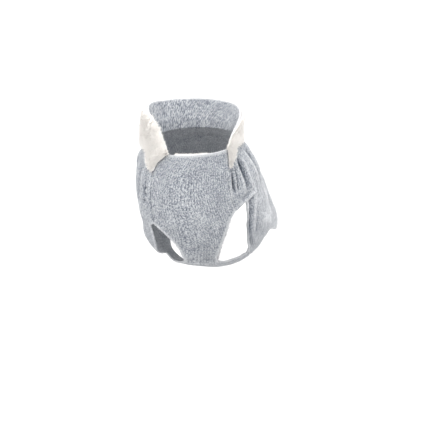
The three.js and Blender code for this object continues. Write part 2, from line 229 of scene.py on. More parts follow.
# %% The table of folds
# The ring's angle in degrees and the row where a fold starts, the same where it ends,
# then its bow, width and height in millimetres.
FOLDS = np.array((
    # the fan below the collar's end, on the wearer's left shoulder
    (46.5, 0.85, 42.5, 2.4, 0.2, 1.5, 1.2), (51.5, 0.88, 47.5, 2.1, 0.3, 1.4, -2.8),
    (54.4, 0.9, 51, 2, 0.2, 0.8, 1.3), (56.6, 0.95, 53.2, 2.1, 0.2, 0.9, -1.9),
    (60, 0.9, 61.5, 2.5, 0.4, 1.5, 1.8), (66, 0.5, 68, 2.3, -0.5, 2.7, -3),
    (72.5, 0.8, 73, 2.8, 0.5, 2, 1.7), (80, 0.4, 90, 3.1, 1, 3, 1.5),
    (87, 0.35, 98, 2.9, 1.5, 4, -1.3), (103, 0.3, 108, 3.3, 2, 5.5, 1.3),
    # the folds that run into the top of the left leg hole, and those below it
    (84, 2.8, 52, 2.74, -0.8, 1.4, 1.9), (66, 2.9, 86, 2.98, 0.3, 1.3, -2.4),
    (76, 2.5, 56, 2.6, -0.6, 1.4, -1.2), (65, 2.9, 60, 3.5, 0.4, 1.5, 1.7),
    (69, 3, 59, 4.7, 0.8, 3, -2.8), (60, 4.3, 56, 6.5, 0.3, 3.2, -1.7),
    (78, 2.9, 64, 4.8, 0.8, 2.4, 1.5), (82, 3.7, 66, 5.6, 0.5, 3, -1.2),
    (77, 1.9, 79, 3.8, 0.5, 2.2, 1),
    # long soft folds over the left flank to the back's hem
    (98, 3.4, 92, 7, 1.5, 5, 1), (112, 3, 104, 7.6, -1.5, 6, -1), (84, 5, 88, 7.3, 1, 3.5, 1),
    (74, 5, 74, 6.6, 0.5, 3, -1),
    # the wearer's right shoulder: a fan, and small folds pressed together below it
    (-40, 0.95, -44, 2.6, 0.5, 1.6, -1.2), (-46, 0.9, -50, 2.6, 0.4, 1.4, 0.9),
    (-52, 0.8, -58, 2.8, -0.6, 2.2, -1.1), (-60, 0.6, -66, 2.7, 0.8, 2.6, 1.2),
    (-72, 0.5, -80, 3, -1, 3.4, -1.2), (-86, 0.4, -96, 3, 1.2, 4.4, 1.2),
    (-103, 0.35, -112, 3.4, 1.6, 5.2, -1.2), (-32, 1.55, -56, 1.66, 0.6, 1, 0.9),
    (-33, 1.68, -57, 1.8, 0.5, 0.9, -1), (-32, 1.82, -58, 1.96, 0.7, 1, 1),
    (-33, 1.96, -58, 2.12, 0.6, 0.9, -1), (-33, 2.12, -60, 2.3, 0.8, 1.1, 0.9),
    (-34, 2.28, -60, 2.48, 0.8, 1, -0.8), (-35, 2.45, -60, 2.66, 0.8, 1.2, 0.7),
    (-62, 2.8, -46, 3.05, 0.8, 2.2, 1.1), (-54, 3.2, -48, 4.6, -0.6, 2.4, -1.1),
    (-62, 3.3, -56, 5.1, 0.6, 3, 1), (-98, 3.4, -92, 7, 1.5, 5, 0.9),
    (-114, 3.2, -106, 7.6, 1.5, 6, -0.9), (-84, 5, -90, 7.2, 1, 4, 0.8),
    # across the shoulder blades and down the back
    (140, 0.9, 214, 1.15, 2, 3.5, 0.9), (150, 1.5, 204, 1.7, -2, 4, -0.8),
    (128, 2.2, 138, 5.8, 2, 6, 0.9), (232, 2.4, 222, 6.2, -2, 6, 0.9),
    (158, 4, 164, 8.8, -1.5, 5.5, -0.8), (204, 4.6, 196, 8.6, 1.5, 5.5, 0.8),
    # the chest: a faint pull from each leg hole, and the soft bend above the belly
    (30, 3.2, 8, 2.6, 1.5, 4.5, 0.5), (-22, 3.3, -2, 2.7, -1.5, 4.5, 0.5),
    (-6, 4.3, 12, 4.4, 0.5, 4, -0.5), (-12, 5.2, 20, 5.3, 0.6, 2.6, -0.7),
    (-14, 5.7, 22, 5.75, 0.6, 2.4, 0.6),
))
MM_A_DEGREE, MM_A_ROW = 1.0, 19.0     # about how far a degree and a row are on the cloth


def folds(turn, row):
    """The sum of all folds, in millimetres outwards. Each is height * exp(-(d / width)^2),
    with d the distance from its bowed line. It widens on its way, its height wavers, and
    it fades out past its two ends."""
    angle, lifted = on_ring(turn, row)
    total = np.zeros(np.shape(turn))
    for k, (angle_0, row_0, angle_1, row_1, bow, width, height) in enumerate(FOLDS):
        side = (angle - angle_0 + 180) % 360 - 180
        line = np.array([(angle_1 - angle_0) * MM_A_DEGREE, (row_1 - row_0) * MM_A_ROW])
        length = np.hypot(*line)
        x, y = side * MM_A_DEGREE, (lifted - row_0) * MM_A_ROW
        part = (x * line[0] + y * line[1]) / length ** 2
        off = (x * line[1] - y * line[0]) / length - bow * 4 * part * (1 - part)
        ends = smooth(part, -0.12, 0.25) * smooth(-part, -1.12, -0.7)
        uneven = 1 + 0.25 * np.sin(2 * np.pi * (1.3 * part + 0.37 * k))
        spread = width * (0.8 + 0.4 * part.clip(0, 1))
        total += height * uneven * ends * np.exp(-((off / spread) ** 2))
    return total


print("folds", len(FOLDS))


# %% How the cloth lies off the body's surface
def clear_of_seam(turn, row):
    """0 at the neck seam, which lies under the collar, and at the chest's two upper
    corners, and 1 from half a row below them."""
    seam = first_row(turn) * smooth(turn_from_front(turn), 30, 41)
    return smooth(row - seam, 0.05, 0.5)


def creases(turn, row):
    """The folds, clear of the seam."""
    return folds(turn, row) * clear_of_seam(turn, row)


def swells(turn, row):
    """Soft swells with no line to them, in millimetres outwards, clear of the seam."""
    base = body_point(turn, row)
    uneven = 0.45 * soft_noise(base, 48, 2) + 0.3 * soft_noise(base, 19, 3)
    return uneven * clear_of_seam(turn, row)


# %% [markdown]
# ## Closed shells
#
# Each panel is a thin shell: an outer grid, an inner grid, and a rounded rim between them.
# Solidify could thicken an open grid, but its rim is flat, and a knit's cut edge is round
# and soft. So the rim is five more loops of points on a half circle. At a seam the half
# circle is nearly flat, because two pressed edges meet there.


# %% From grids of points to a mesh
RIM_LOOPS = 5


def rim_order(rows, columns):
    """Row and column of every edge point of a grid, once round, and the point inside it."""
    r, c = np.arange(rows - 1), np.arange(columns - 1)
    down = np.concatenate([0 * c, r, 0 * c + rows - 1, rows - 1 - r])
    across = np.concatenate([c, 0 * r + columns - 1, columns - 1 - c, 0 * r])
    at = np.stack([down, across], -1)
    return at, np.clip(at, 1, [rows - 2, columns - 2])


def shell_mesh(outer, inner, bulge):
    """Points and quads of a closed shell, and its rim. The rim's loops are mid + cos(a) *
    half the thickness + sin(a) * bulge outwards in the cloth's own direction. The bulge
    is one number, or one for each rim point."""
    rows, columns = outer.shape[:2]
    at, inside = rim_order(rows, columns)
    bulge = np.broadcast_to(bulge, len(at))
    edge_out, edge_in = outer[at[:, 0], at[:, 1]], inner[at[:, 0], at[:, 1]]
    away = unit(edge_out - outer[inside[:, 0], inside[:, 1]])
    middle, half = (edge_out + edge_in) / 2, (edge_out - edge_in) / 2
    loops = [
        middle + np.cos(a) * half + np.sin(a) * away * bulge[:, None]
        for a in np.linspace(0, np.pi, RIM_LOOPS + 2)[1:-1]
    ]
    points = np.concatenate([outer.reshape(-1, 3), inner.reshape(-1, 3), *loops])
    grid = np.arange(rows * columns).reshape(rows, columns)
    a, b, c, d = grid[:-1, :-1], grid[1:, :-1], grid[1:, 1:], grid[:-1, 1:]
    outside = np.stack([a, b, c, d], -1).reshape(-1, 4)
    lining = np.stack([a, d, c, b], -1).reshape(-1, 4) + rows * columns
    ring = grid[at[:, 0], at[:, 1]]
    first = 2 * rows * columns
    rings = [ring] + [first + k * len(ring) + np.arange(len(ring)) for k in range(len(loops))]
    rings.append(ring + rows * columns)
    strips = [
        np.stack([p, np.roll(p, -1), np.roll(q, -1), q], -1) for p, q in zip(rings[:-1], rings[1:])
    ]
    return points, np.concatenate([outside, lining, *strips]), at


def over_shell(values, at, lining=1.0):
    """A grid's values at all of its shell's points: the outer face, the inner face, where
    they are times lining, and the rim's loops."""
    rim = np.concatenate([values[at[:, 0], at[:, 1]]] * RIM_LOOPS)
    return np.concatenate([values.ravel(), lining * values.ravel(), rim])


def put_in_scene(name, data):
    """A new object in the scene, at the origin, for a mesh, a camera or a light."""
    made = bpy.data.objects.new(name, data)
    bpy.context.scene.collection.objects.link(made)
    return made


def make_object(name, points, faces, material, uv=None, marks=None):
    """A smooth mesh object at the origin from points in millimetres and equal faces, with
    a UV map that counts stitches and named values at its points for the finish."""
    mesh = bpy.data.meshes.new(name)
    mesh.from_pydata(points * MM, [], faces, shade_flat=False)
    if uv is not None:
        layer = mesh.uv_layers.new(name="stitches")
        layer.data.foreach_set("uv", uv[faces.ravel()].astype(np.float32).ravel())
    for mark, values in (marks or {}).items():
        attribute = mesh.attributes.new(mark, "FLOAT", "POINT")
        attribute.data.foreach_set("value", values.astype(np.float32))
    mesh.validate()
    mesh.materials.append(material)
    print(name, len(points), "points", len(faces), "faces")
    return put_in_scene(name, mesh)


def nearest(points, targets, rows_at_once=4000):
    """The distance from each point to the nearest target, worked out in blocks."""
    flat = points.reshape(-1, 3)
    blocks = [
        np.linalg.norm(flat[k:k + rows_at_once, None] - targets[None], axis=-1).min(1)
        for k in range(0, len(flat), rows_at_once)
    ]
    return np.concatenate(blocks).reshape(points.shape[:-1])


# %% [markdown]
# ## Shared looks
#
# Both cloths are fibre, and fibre is never one tone: strands catch the light, others lie
# in shade. That grain is one node group, placed in both materials with its own values.

# %% A node helper and the fibre grain
def feed(tree, sockets, values):
    """Each socket gets its value, or a link where the value is another node's output."""
    for socket, value in zip(sockets, values):
        if isinstance(value, bpy.types.NodeSocket):
            tree.links.new(value, socket)
        elif value is not None:
            socket.default_value = value


def add(tree, kind, label, **values):
    """A new node with named settings, and with values or links for its inputs by name."""
    node = tree.nodes.new(kind)
    node.label = label
    for key, value in values.items():
        if hasattr(node, key):
            setattr(node, key, value)
        else:
            feed(tree, [node.inputs[key.title()]], [value])
    return node


def maths(tree, operation, first, second=None, label=""):
    """A Math node. Each operand is a number or another node's output."""
    node = add(tree, "ShaderNodeMath", label or operation.lower(), operation=operation)
    feed(tree, node.inputs, (first, second))
    return node.outputs[0]


def weighted(tree, value, weight, base, label=""):
    """value * weight + base."""
    return maths(tree, "ADD", maths(tree, "MULTIPLY", value, weight), base, label)


def new_group(name, numbers, outputs):
    """A shader node group that takes a vector and some numbers and puts numbers out, with
    its two end nodes."""
    tree = bpy.data.node_groups.new(name, "ShaderNodeTree")
    tree.interface.new_socket("Vector", in_out="INPUT", socket_type="NodeSocketVector")
    for socket, value in numbers.items():
        made = tree.interface.new_socket(socket, in_out="INPUT", socket_type="NodeSocketFloat")
        made.default_value = value
    for socket in outputs:
        tree.interface.new_socket(socket, in_out="OUTPUT", socket_type="NodeSocketFloat")
    return tree, tree.nodes.new("NodeGroupInput"), tree.nodes.new("NodeGroupOutput")


def fibre_grain():
    """Grain of a given size: a tone from 0 to 1 for the colour, and a height."""
    numbers = {"Size": 1000.0, "Contrast": 0.5}
    tree, start, end = new_group("Fibre grain", numbers, ("Tone", "Height"))
    fine = add(
        tree, "ShaderNodeTexNoise", "strands", detail=3.0, roughness=0.65,
        vector=start.outputs["Vector"], scale=start.outputs["Size"])
    centred = maths(tree, "SUBTRACT", fine.outputs["Fac"], 0.5)
    tone = weighted(tree, centred, start.outputs["Contrast"], 0.5, "tone")
    feed(tree, end.inputs, (tone, fine.outputs["Fac"]))
    return tree


GRAIN = fibre_grain()
print("group", GRAIN.name)

# %% [markdown]
# ## The marl knit
#
# Marl yarn is spun from pale and slate strands, so its colour changes from stitch to
# stitch. Seen close, plain knitting is columns of small V shapes, called wales. A woven
# image could show them, but the stitches can be counted: the UV map holds the wale and
# the course at each point. Its whole part names one leg of a stitch. Each of the leg's two
# plies gets a shade of its own, and the rest is the place inside the leg, which gives the
# height.

# %% The knit's material
def linear(red, green, blue):
    """A screen colour from 0 to 255 as linear RGBA."""
    c = np.array([red, green, blue]) / 255
    return (*np.where(c <= 0.04045, c / 12.92, ((c + 0.055) / 1.055) ** 2.4).tolist(), 1.0)


def stitch_group():
    """The legs of knitted stitches from a UV map that counts wales and courses: a random
    shade for each ply, slow changes along the yarn, the groove between two wales (1 at its
    bottom), and the height of the rounded yarn."""
    tree, start, end = new_group("Stitches", {"Slant": 0.7}, ("Shade", "Run", "Groove", "Height"))
    vector = start.outputs["Vector"]
    split = add(tree, "ShaderNodeSeparateXYZ", "wale and course", vector=vector)
    legs = maths(tree, "MULTIPLY", split.outputs[0], 2.0, "two legs a wale")
    leg, place = maths(tree, "FLOOR", legs), maths(tree, "FRACT", legs)
    odd = maths(tree, "MODULO", maths(tree, "ADD", leg, 2000.0), 2.0)
    lean = maths(tree, "MULTIPLY", maths(tree, "SUBTRACT", odd, 0.5), 2.0, "which way it leans")
    rise = maths(tree, "MULTIPLY", maths(tree, "SUBTRACT", place, 0.5), start.outputs["Slant"])
    course = weighted(tree, rise, lean, split.outputs[1])
    ply = maths(tree, "FLOOR", maths(tree, "MULTIPLY", legs, 2.0), label="one of a leg's two plies")
    cell = add(tree, "ShaderNodeCombineXYZ", "ply and course", x=ply, y=maths(tree, "FLOOR", course))
    shade = add(
        tree, "ShaderNodeTexWhiteNoise", "its shade", noise_dimensions="3D", vector=cell.outputs[0])
    run = add(
        tree, "ShaderNodeTexNoise", "runs of yarn", noise_dimensions="2D", detail=2.0, scale=2.6,
        vector=vector)
    across_wale, across_leg, down_leg = (
        maths(tree, "SINE", maths(tree, "MULTIPLY", part, np.pi))
        for part in (split.outputs[0], place, maths(tree, "FRACT", course)))
    crown = maths(tree, "POWER", maths(tree, "ABSOLUTE", across_wale), 0.7)
    groove = maths(tree, "SUBTRACT", 1.0, crown, "groove between wales")
    height = maths(tree, "MULTIPLY", across_leg, maths(tree, "ADD", down_leg, 0.6))
    feed(tree, end.inputs, (shade.outputs["Value"], run.outputs["Fac"], groove, height))
    return tree


def set_inputs(node, values):
    """Plain values for what is even all over, each on its own socket."""
    for name, value in values.items():
        node.inputs[name].default_value = value


def new_material(name, roughness, sheen, sheen_roughness):
    """A material with its node tree and its Principled shader."""
    material = bpy.data.materials.new(name)
    material.use_nodes = True
    shader = material.node_tree.nodes["Principled BSDF"]
    set_inputs(shader, {
        "Roughness": roughness, "Specular IOR Level": 0.2, "Sheen Weight": sheen,
        "Sheen Roughness": sheen_roughness,
    })
    return material, material.node_tree, shader


def grain(tree, label, place, size, contrast):
    """The fibre grain in a material. Its size is in waves to the metre."""
    return add(
        tree, "ShaderNodeGroup", label, node_tree=GRAIN, vector=place, size=size, contrast=contrast)


def ramp(tree, factor, stops):
    """A colour ramp with stops of (place, colour)."""
    node = add(tree, "ShaderNodeValToRGB", "shades", fac=factor)
    while len(node.color_ramp.elements) < len(stops):
        node.color_ramp.elements.new(0.5)
    for element, (place, colour) in zip(node.color_ramp.elements, stops):
        element.position = place
        element.color = colour
    return node.outputs[0]


def add_bump(tree, shader, height, strength, distance):
    """A Bump node between a height and the shader's normal. The distance is in metres."""
    bump = add(tree, "ShaderNodeBump", "bump", strength=strength, distance=distance)
    tree.links.new(height, bump.inputs["Height"])      # a node's own height is its size on screen
    tree.links.new(bump.outputs[0], shader.inputs["Normal"])


STITCHES = stitch_group()
FROST = linear(213, 214, 216)
# The marl's shades from slate to frost, each with its place on the ramp.
MARL_SHADES = (
    (0.10, linear(67, 73, 83)), (0.34, linear(110, 115, 125)), (0.52, linear(149, 153, 159)),
    (0.70, linear(181, 184, 188)), (0.92, FROST),
)
MARL_TONE = 0.57                      # where the yarn's middle shade is on the ramp
# How much each part moves the marl from slate (0) to frost (1).
TONE_PARTS = {"plies": 0.50, "runs": 0.24, "flecks": 0.22, "strands": 0.12, "patches": 0.20}
# Painted shade in the grooves between wales, painted shade in fold troughs and a painted highlight on fold
# crests per millimetre of fold height, and how pale the free edges are.
PAINTED_GROOVE_SHADE, PAINTED_FOLD_SHADING, EDGE_TONE = -0.16, 0.115, 0.7


def knit_material():
    """Marl: stitch shades and grain through one ramp from slate to frost. Painted shade makes
    the grooves between wales and the folds' troughs darker, and a painted highlight makes
    the folds' crests paler. Free edges are paler, where the brushed fibres stand."""
    material, tree, shader = new_material("knit", 0.95, 0.45, 0.4)
    uv = add(tree, "ShaderNodeUVMap", "stitches", uv_map="stitches")
    place = add(tree, "ShaderNodeTexCoord", "place").outputs["Object"]
    stitches = add(tree, "ShaderNodeGroup", "stitches", node_tree=STITCHES, vector=uv.outputs[0])
    flecks = grain(tree, "flecks", place, 1500.0, 1.7)
    strands = grain(tree, "strands", place, 2200.0, 1.2)
    patches = grain(tree, "patches", place, 90.0, 1.2)
    parts = (
        stitches.outputs["Shade"], stitches.outputs["Run"], flecks.outputs["Tone"],
        strands.outputs["Tone"], patches.outputs["Tone"],
    )
    tone = MARL_TONE - 0.5 * sum(TONE_PARTS.values())
    for part, (name, weight) in zip(parts, TONE_PARTS.items()):
        tone = weighted(tree, part, weight, tone, name)
    # painted shade: the groove between two wales is darker
    tone = weighted(tree, stitches.outputs["Groove"], PAINTED_GROOVE_SHADE, tone)
    crease, edge = (
        add(tree, "ShaderNodeAttribute", mark, attribute_name=mark).outputs["Fac"]
        for mark in ("crease", "edge"))
    # the folds' height moves the tone: painted shade in troughs, a painted highlight on crests
    colour = ramp(tree, weighted(tree, crease, PAINTED_FOLD_SHADING, tone), MARL_SHADES)
    worn = add(tree, "ShaderNodeMix", "pale edge", data_type="RGBA")
    factor = maths(tree, "MULTIPLY", edge, EDGE_TONE)
    feed(tree, [worn.inputs[k] for k in (0, 6, 7)], (factor, colour, FROST))
    tree.links.new(worn.outputs[2], shader.inputs["Base Color"])
    height = weighted(tree, strands.outputs["Height"], 0.9, stitches.outputs["Height"])
    add_bump(tree, shader, height, 0.5, 0.0005)
    return material


KNIT_LOOK = knit_material()
print("material", KNIT_LOOK.name)

# %% [markdown]
# ## The plush
#
# The collar is cream plush with a long soft pile. Its ground has one warm tone with a
# little grain, and the pile itself is real geometry further down, so the bump is slight.

# %% The plush's material
CREAM, WARM = linear(255, 252, 248), linear(250, 245, 240)


def plush_material():
    """Cream, warmer in random patches, with painted shade that makes the pile warmer towards its roots."""
    material, tree, shader = new_material("plush", 1.0, 0.65, 0.6)
    place = add(tree, "ShaderNodeTexCoord", "place").outputs["Object"]
    tufts = grain(tree, "tufts", place, 260.0, 1.3)
    strands = grain(tree, "strands", place, 2200.0, 0.8)
    tip = add(tree, "ShaderNodeAttribute", "how near the hair's tip", attribute_name="tip")
    tone = maths(tree, "MULTIPLY", strands.outputs["Tone"], 0.4)
    tone = weighted(tree, tufts.outputs["Tone"], 0.6, tone)
    # painted shade: warmer towards the pile's roots, paler at its tips
    tone = weighted(tree, tip.outputs["Fac"], 0.4, tone)
    tree.links.new(ramp(tree, tone, ((0.25, WARM), (0.75, CREAM))), shader.inputs["Base Color"])
    add_bump(tree, shader, strands.outputs["Height"], 0.4, 0.0004)
    return material


PLUSH_LOOK = plush_material()
print("material", PLUSH_LOOK.name)

# %% [markdown]
# ## The panels' cut
#
# The chest panel goes from the neck between the leg holes to the belly band in one piece.
# The back panel goes from one shoulder seam over the back to the other. Its columns stay
# level over the back, and only those near its edges follow the seams and the leg holes.
# A wale is four or five columns wide, so the ribs are in the mesh and not only in the finish.

# %% The back panel's columns and rows
# The flap's last row at the rump and how much shorter it is at its sides, the row below
# which the back stretches down to it, and how far back the flank's hem runs, in rows.
FLAP_ROW, FLAP_ROUND, FLANK_ROW, FLANK_RISE = 9.45, 0.5, 5.0, 0.3
FLANK_TURNS, FLAP_TURNS = (66, 88), (80, 90)      # where the hem runs back, and then drops
# The lift of the left leg hole's corner, and the turns and rows where it grows and fades.
HOLE_LIFT, LIFT_TURNS, LIFT_ROWS = 0.22, ((39, 52), (56, 80)), ((2.3, 3.22), (3.22, 3.9))
EDGE_PULL = 7                         # only the back's outer columns follow its edges


def last_row(turn):
    """The flank's hem, and the flap over the rump."""
    front = turn_from_front(turn)
    flank = HEM_ROW + FLANK_RISE * smooth(front, *FLANK_TURNS)
    flap = FLAP_ROW - FLAP_ROUND * np.sin(np.radians(front)) ** 2
    return flank + (flap - flank) * smooth(front, *FLAP_TURNS)


def back_turn(across, row):
    """A column's turn: level, plus the edge's own swing times |across|^7."""
    seam = edge_turn(BACK_EDGE, COLLAR_TIP_ROW, across < 0)
    edge = edge_turn(BACK_EDGE, row, across < 0) + HALF_GAP_TURN
    return 180 + across * (180 - seam) + (seam - edge) * power(across, EDGE_PULL)


def hole_lift(turn, row):
    """The leg hole on the wearer's left is pulled up into a corner, with the rows round it."""
    beside = smooth(turn, *LIFT_TURNS[0]) * (1 - smooth(turn, *LIFT_TURNS[1]))
    return HOLE_LIFT * beside * smooth(row, *LIFT_ROWS[0]) * (1 - smooth(row, *LIFT_ROWS[1]))


def back_row(turn, row):
    """Rows above the leg holes stretch up to the neck, rows below them down to the flap."""
    top = first_row(turn)
    upper = top + (SEAM_END_ROW - top) * (row - COLLAR_TIP_ROW) / (SEAM_END_ROW - COLLAR_TIP_ROW)
    lower = FLANK_ROW + (last_row(turn) - FLANK_ROW) * (row - FLANK_ROW) / (HEM_ROW - FLANK_ROW)
    stretched = np.where(row < SEAM_END_ROW, upper, np.where(row < FLANK_ROW, row, lower))
    return stretched - hole_lift(turn, row)


def rows_between(edge, first, last, count):
    """About `count` rows from first to last, with every row of the edge's table."""
    marks = edge[(edge[:, 0] > first + 0.01) & (edge[:, 0] < last - 0.01), 0]
    return np.unique(np.round(np.concatenate([np.linspace(first, last, count), marks]), 4))


def side_between(at, rows, low, high):
    """Which rim points are on a panel's two sides, between two rows of its cut."""
    level = rows[at[:, 0]]
    return ((at[:, 1] == 0) | (at[:, 1] == at[:, 1].max())) & (level > low) & (level < high)


def sewn_sides(at, rows):
    """A panel's sides are sewn at the shoulder, above the leg holes, and at the belly band."""
    return side_between(at, rows, -1, 3.0) | side_between(at, rows, 6.32, 9)


CHEST_ROWS = rows_between(CHEST_EDGE, 0, HEM_ROW, 96)
BACK_ROWS = rows_between(BACK_EDGE, COLLAR_TIP_ROW, HEM_ROW, 70)
WALES_ROUND_BACK, COURSES_A_ROW = 120, 26
WALE_TURN = 2 * (180 - 41.2) / WALES_ROUND_BACK
print("wales round the back", WALES_ROUND_BACK, "one is", round(WALE_TURN, 3), "degrees")


# %% From the cut to a shell of knit
WALE_DEPTH = 0.40                     # how far a wale's crown stands over its groove, mm
THIN_EDGE = 0.45                      # how much thinner the knit is at a free edge
WELT, BEAD, FLARE = 0.35, 0.35, 0.7   # heights beside a seam, along a free edge, and its waves


def wale(turn):
    """The rib of each wale: 1 on its crown and 0 in the groove, |sin|^0.7 of half a turn."""
    return np.abs(np.sin(np.pi * turn / WALE_TURN)) ** 0.7


def knit_panel(name, turn, row, seam_edge, pale_edge):
    """A shell of knit over a grid of turns and rows. seam_edge says which edge points are
    sewn. Free edges get a soft bead and a pale look, seams a groove between two welts."""
    base, normal = body_point(turn, row), body_normal(turn, row)
    at, _ = rim_order(*turn.shape)
    sewn = seam_edge(at)
    rim = base[at[:, 0], at[:, 1]]
    to_seam, to_free = nearest(base, rim[sewn]), nearest(base, rim[~sewn])
    welt = WELT * (np.exp(-((to_seam - 2.4) / 1.2) ** 2) - np.exp(-((to_seam / 0.8) ** 2)))
    bead = BEAD * np.exp(-((to_free - 0.4) / 1.2) ** 2)
    flare = FLARE * np.exp(-(to_free / 7) ** 2) * soft_noise(base, 26, 5)
    fold = creases(turn, row)
    raised = (fold + swells(turn, row)) * (1 - 0.5 * np.exp(-((to_free / 3) ** 2)))
    rib = WALE_DEPTH * (wale(turn) - 0.6) * smooth(to_free, 0.5, 3)
    thick = KNIT * (1 - THIN_EDGE * np.exp(-((to_free / 4) ** 2)))
    outer = base + normal * (raised + flare + welt + bead + rib)[..., None]
    inner = base + normal * (raised + flare - thick - 0.4 * rib)[..., None]
    points, faces, at = shell_mesh(outer, inner, np.where(sewn, 0.16, 0.8))
    uv = np.stack([over_shell(x, at) for x in (turn / WALE_TURN, row * COURSES_A_ROW)], -1)
    pale = pale_edge * smooth(-to_free, -3.6, -0.2)
    # The folds' and welts' height, which the knit's material turns into painted shade in troughs and at
    # seams and a painted highlight on crests.
    crease = np.clip(fold + 0.5 * welt, -2.8, 2)
    marks = {"edge": over_shell(pale, at, 0.5), "crease": over_shell(crease, at, -0.5)}
    return make_object(name, points, faces, KNIT_LOOK, uv, marks), outer, normal


# %% [markdown]
# ### Chest and belly

# %% The chest panel
def chest_panel():
    """The chest's grid: across times the half width of the cut at each row."""
    across, row = np.meshgrid(np.linspace(-1, 1, 281), CHEST_ROWS)
    turn = across * (edge_turn(CHEST_EDGE, row, across > 0) - HALF_GAP_TURN)
    return knit_panel("chest_cloth", turn, row, lambda at: sewn_sides(at, CHEST_ROWS), 0.9)


chest, chest_face, chest_normal = chest_panel()

# %% [markdown]
# ### Back and flanks

# %% The back panel
def back_panel():
    """The back's grid: level columns, and rows that reach from the neck to the flap. The
    neck seam is sewn too."""
    across, row = np.meshgrid(np.linspace(-1, 1, 561), BACK_ROWS)
    turn = back_turn(across, row)
    return knit_panel(
        "back_cloth", turn, back_row(turn, row),
        lambda at: (at[:, 0] == 0) | sewn_sides(at, BACK_ROWS), 0.5)


back, back_face, back_normal = back_panel()

# %% [markdown]
# ## The collar
#
# The collar is a band that stands on the neck seam. Its knitted stand is inside, and the
# plush lies over it. Both share one surface between the seam and the free edge, and its two
# ends bend down along the chest panel's corners.

# %% The surface that the stand and the plush share
COLLAR_GAP, PLUSH_EDGE = 0.5, 1.6     # under the plush, and its reach at its edges, mm
# The plush laps over the back panel by some rows, which is this part of the stand's
# height, and its pile stands this part of it over the free edge.
LAP_ROWS, LAP_RISE, TOP_RISE = 0.12, 0.15, 0.08
UPRIGHT_RISE, LAP_UPRIGHT = 0.35, -0.4            # where the band starts to stand upright


def seam_row(turn):
    """Where the collar starts, a gap above the back panel."""
    return first_row(turn, NECK_GAP_TURN) - NECK_GAP_ROWS


def near_end(across):
    """How near a column is to one of the collar's two ends."""
    return smooth(np.abs(across), 0.78, 1)


def corner_place(across, rise):
    """The turn and row along the chest panel's corner, from the collar's tip upwards."""
    row = (COLLAR_TIP_ROW - NECK_GAP_ROWS) * (1 - rise)
    turn = 180 - edge_turn(BACK_EDGE, np.maximum(row, 0), across < 0) - NECK_GAP_TURN
    return 180 + np.sign(across) * turn, row


def edge_point(across):
    """The collar's free edge, a smooth curve through its table."""
    step = (across + 1) / 2 * (len(COLLAR_ROWS) - 1)
    return np.stack([along(COLLAR_EDGE[name], step) for name in "xyz"], -1)


def collar_point(across, rise):
    """From the neck seam at rise 0 straight to the free edge at 1, bent at both ends to
    follow the chest's corner. Below 0 it runs down over the back panel."""
    across, rise = np.broadcast_arrays(across, rise)
    turn = back_turn(across, np.full(across.shape, COLLAR_TIP_ROW))
    start = seam_row(turn)
    lap = body_point(turn, start + np.maximum(-rise, 0) * LAP_ROWS)
    up = rise[..., None]
    tip = body_point(*corner_place(across, np.zeros(across.shape)))
    straight = tip + (edge_point(np.sign(across)) - tip) * up
    bend = body_point(*corner_place(across, rise)) - straight
    seam = body_point(turn, start)
    stand = seam + (edge_point(across) - seam) * up + bend * near_end(across)[..., None]
    return np.where(up <= 0, lap, stand)


def collar_normal(across, rise, upright_from):
    """The outward normal: the body's at the seam, the band's own from a third of its
    height, and the body's again at the chest's corners."""
    across, rise = np.broadcast_arrays(across, rise)
    turn = back_turn(across, np.full(across.shape, COLLAR_TIP_ROW))
    inside = np.clip(across, -0.97, 0.97)
    own = -normal_of(collar_point, inside, np.maximum(rise, 0.2), 0.03, 0.1)
    body = body_normal(turn, seam_row(turn) + np.maximum(-rise, 0) * LAP_ROWS)
    normal = unit(body + (own - body) * smooth(rise, upright_from, UPRIGHT_RISE)[..., None])
    corner = body_normal(*corner_place(across, np.maximum(rise, 0)))
    return unit(normal + (corner - normal) * near_end(across)[..., None])


nape = collar_point(np.zeros(2), np.array([0.0, 1.0]))
print("collar's height at the nape", np.linalg.norm(nape[1] - nape[0]).round(1), "mm")


# %% [markdown]
# ### The knitted stand
#
# It shows inside the collar, and its outer face is hidden under the plush. So only its
# inner face is ribbed and uneven.

# %% The stand
STAND_COURSES = 18


def neck_stand():
    """The band's surface and the same moved in by the knit's thickness, ribbed inside."""
    across, rise = np.meshgrid(np.linspace(-1, 1, 481), np.linspace(1, 0, 26))
    normal = collar_normal(across, rise, 0.0)
    outer = collar_point(across, rise)
    turn = back_turn(across, np.full(across.shape, COLLAR_TIP_ROW))
    uneven = 0.35 * soft_noise(outer, 22, 11) * smooth(rise, 0.05, 0.4)
    rib = WALE_DEPTH * (wale(turn) - 0.6)
    inner = outer - normal * (KNIT + rib + uneven)[..., None]
    at, _ = rim_order(*across.shape)
    round_edge = np.where(at[:, 0] == 0, 0.8, 0.1)
    points, faces, at = shell_mesh(outer, inner, round_edge)
    uv = np.stack([over_shell(x, at) for x in (turn / WALE_TURN, rise * STAND_COURSES)], -1)
    marks = {"edge": over_shell(smooth(rise, 0.93, 1.0), at)}
    return make_object("stand_cloth", points, faces, KNIT_LOOK, uv, marks)


stand = neck_stand()

# %% [markdown]
# ### The plush and its pile
#
# Hair curves would give the pile, but they leave no mesh. Here each tuft is a small closed
# spike with a bend in it, made by the thousand as one array. A spike leans down the collar
# with its neighbours, so the pile parts in soft locks, and it fades to short hairs at the
# collar's edges.

